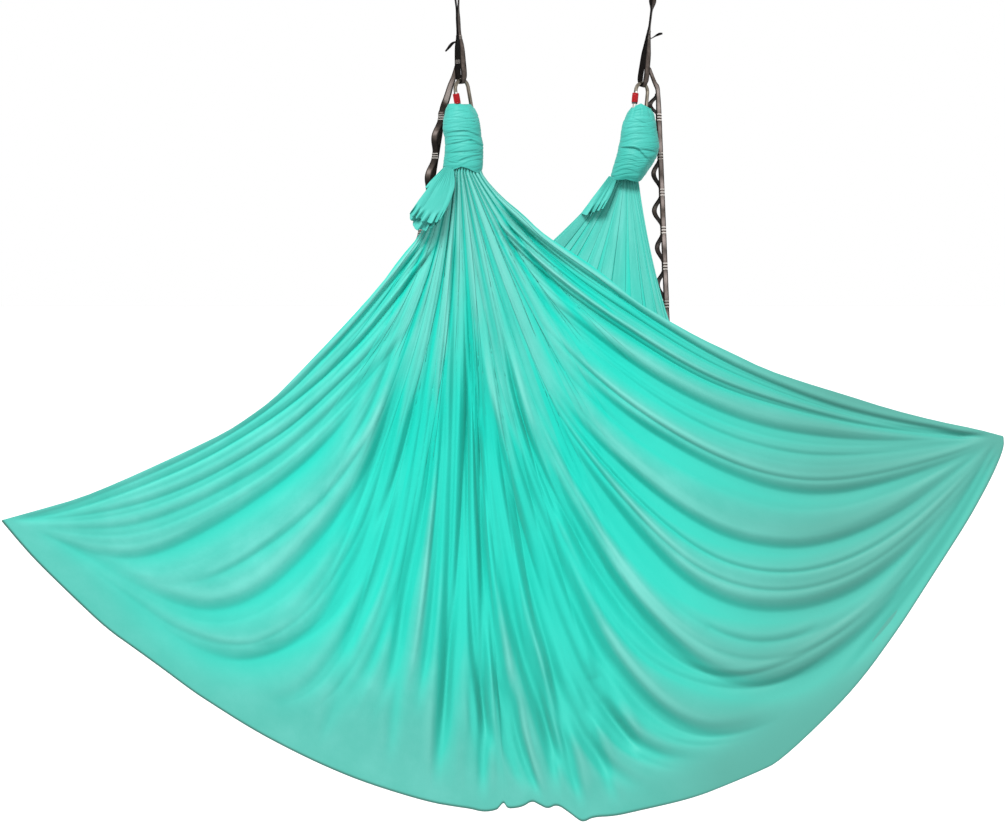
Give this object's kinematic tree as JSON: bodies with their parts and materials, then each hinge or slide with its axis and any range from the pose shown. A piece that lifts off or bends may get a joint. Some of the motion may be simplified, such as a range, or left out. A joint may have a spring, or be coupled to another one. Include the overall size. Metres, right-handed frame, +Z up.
{
  "type": "aerial hammock",
  "caption": "Aerial hammock: a spread cloth sling knotted at both ends on screw-lock carabiners, hung on sewn daisy-chain straps from ceiling plates.",
  "frame": {"origin": "in the ceiling plane, midway between the two hanging points", "axes": "+Z up, +X to the viewer's right and +Y away from the viewer of the picture; the line through the two hanging points runs 45.3 degrees from +X towards +Y"},
  "size_m": [2.3404, 0.57, 2.0418],
  "materials": {
    "cloth": "satin",
    "webbing": "matte",
    "steel": "satin",
    "lock_red": "gloss",
    "collar_black": "gloss",
    "screw_steel": "satin"
  },
  "bodies": {
    "ceiling": {"ceiling_plate_left": "steel", "ceiling_plate_right": "steel", "plate_screw_left_1": "screw_steel", "plate_screw_left_2": "screw_steel", "plate_screw_right_1": "screw_steel", "plate_screw_right_2": "screw_steel"},
    "shackle_left": {"shackle_left": "steel", "shackle_pin_left": "steel"},
    "strap_left": {"strap_left": "webbing", "strap_tab_left": "webbing"},
    "shackle_right": {"shackle_right": "steel", "shackle_pin_right": "steel"},
    "strap_right": {"strap_right": "webbing", "strap_tab_right": "webbing"},
    "sling": {"carabiner_frame_left": "steel", "carabiner_frame_right": "steel", "gate_rivet_left": "steel", "gate_rivet_right": "steel", "knot_left": "cloth", "knot_right": "cloth", "cloth_end_left": "cloth", "cloth_end_right": "cloth", "sling_front": "cloth", "sling_back": "cloth", "strap_tail_left": "webbing", "tail_pockets_left": "webbing", "strap_tail_right": "webbing", "tail_pockets_right": "webbing"},
    "gate_left": {"carabiner_gate_left": "steel", "gate_spring_left": "steel"},
    "collar_left": {"lock_collar_left": "collar_black"},
    "sleeve_left": {"lock_sleeve_left": "lock_red"},
    "gate_right": {"carabiner_gate_right": "steel", "gate_spring_right": "steel"},
    "collar_right": {"lock_collar_right": "collar_black"},
    "sleeve_right": {"lock_sleeve_right": "lock_red"}
  },
  "joints": [
    {"name": "swing_left", "type": "hinge", "parent": "ceiling", "child": "shackle_left", "pos_m": [-0.2375, -0.24, -0.036], "axis": [0.7034, 0.7108, 0], "range_deg": [-35, 35]},
    {"name": "swing_right", "type": "hinge", "parent": "ceiling", "child": "shackle_right", "pos_m": [0.2375, 0.24, -0.036], "axis": [0.7034, 0.7108, 0], "range_deg": [-35, 35]},
    {"name": "sway_left", "type": "hinge", "parent": "shackle_left", "child": "strap_left", "pos_m": [-0.2375, -0.24, -0.073], "axis": [-0.7108, 0.7034, 0], "range_deg": [-10, 10]},
    {"name": "sway_right", "type": "hinge", "parent": "shackle_right", "child": "strap_right", "pos_m": [0.2375, 0.24, -0.073], "axis": [-0.7108, 0.7034, 0], "range_deg": [-10.5, 10.5]},
    {"name": "sling_level", "type": "hinge", "parent": "strap_left", "child": "sling", "pos_m": [-0.2243, -0.2266, -0.3285], "axis": [-0.7108, 0.7034, 0], "range_deg": [-11.5, 11.5]},
    {"name": "gate_left_open", "type": "hinge", "parent": "sling", "child": "gate_left", "pos_m": [-0.23038, -0.23274, -0.38064], "axis": [-0.7108, 0.7034, 0], "range_deg": [0, 22], "stiffness_Nm_per_rad": 0.5, "springref_deg": -11.46},
    {"name": "collar_left_travel", "type": "slide", "parent": "gate_left", "child": "collar_left", "axis": [-0.1702, -0.172, 0.9703], "range_m": [0, 0.008]},
    {"name": "sleeve_left_turn", "type": "hinge", "parent": "collar_left", "child": "sleeve_left", "pos_m": [-0.23761, -0.24005, -0.3394], "axis": [-0.1702, -0.172, 0.9703], "range_deg": [0, 1095]},
    {"name": "gate_right_open", "type": "hinge", "parent": "sling", "child": "gate_right", "pos_m": [0.18712, 0.18902, -0.36911], "axis": [-0.7108, 0.7034, 0], "range_deg": [0, 22], "stiffness_Nm_per_rad": 0.5, "springref_deg": -11.46},
    {"name": "collar_right_travel", "type": "slide", "parent": "gate_right", "child": "collar_right", "axis": [0.0979, 0.0989, 0.9903], "range_m": [0, 0.008]},
    {"name": "sleeve_right_turn", "type": "hinge", "parent": "collar_right", "child": "sleeve_right", "pos_m": [0.19129, 0.19322, -0.32702], "axis": [0.0979, 0.0989, 0.9903], "range_deg": [0, 1095]}
  ],
  "couplings": [
    {"joint": "swing_right", "follows": "swing_left", "ratio": 1},
    {"joint": "sway_right", "follows": "sway_left", "ratio": 1.019},
    {"joint": "sling_level", "follows": "sway_left", "ratio": -1.1033},
    {"joint": "sleeve_left_turn", "follows": "collar_left_travel", "rad_per_m": 2356.2},
    {"joint": "sleeve_right_turn", "follows": "collar_right_travel", "rad_per_m": 2356.2}
  ]
}
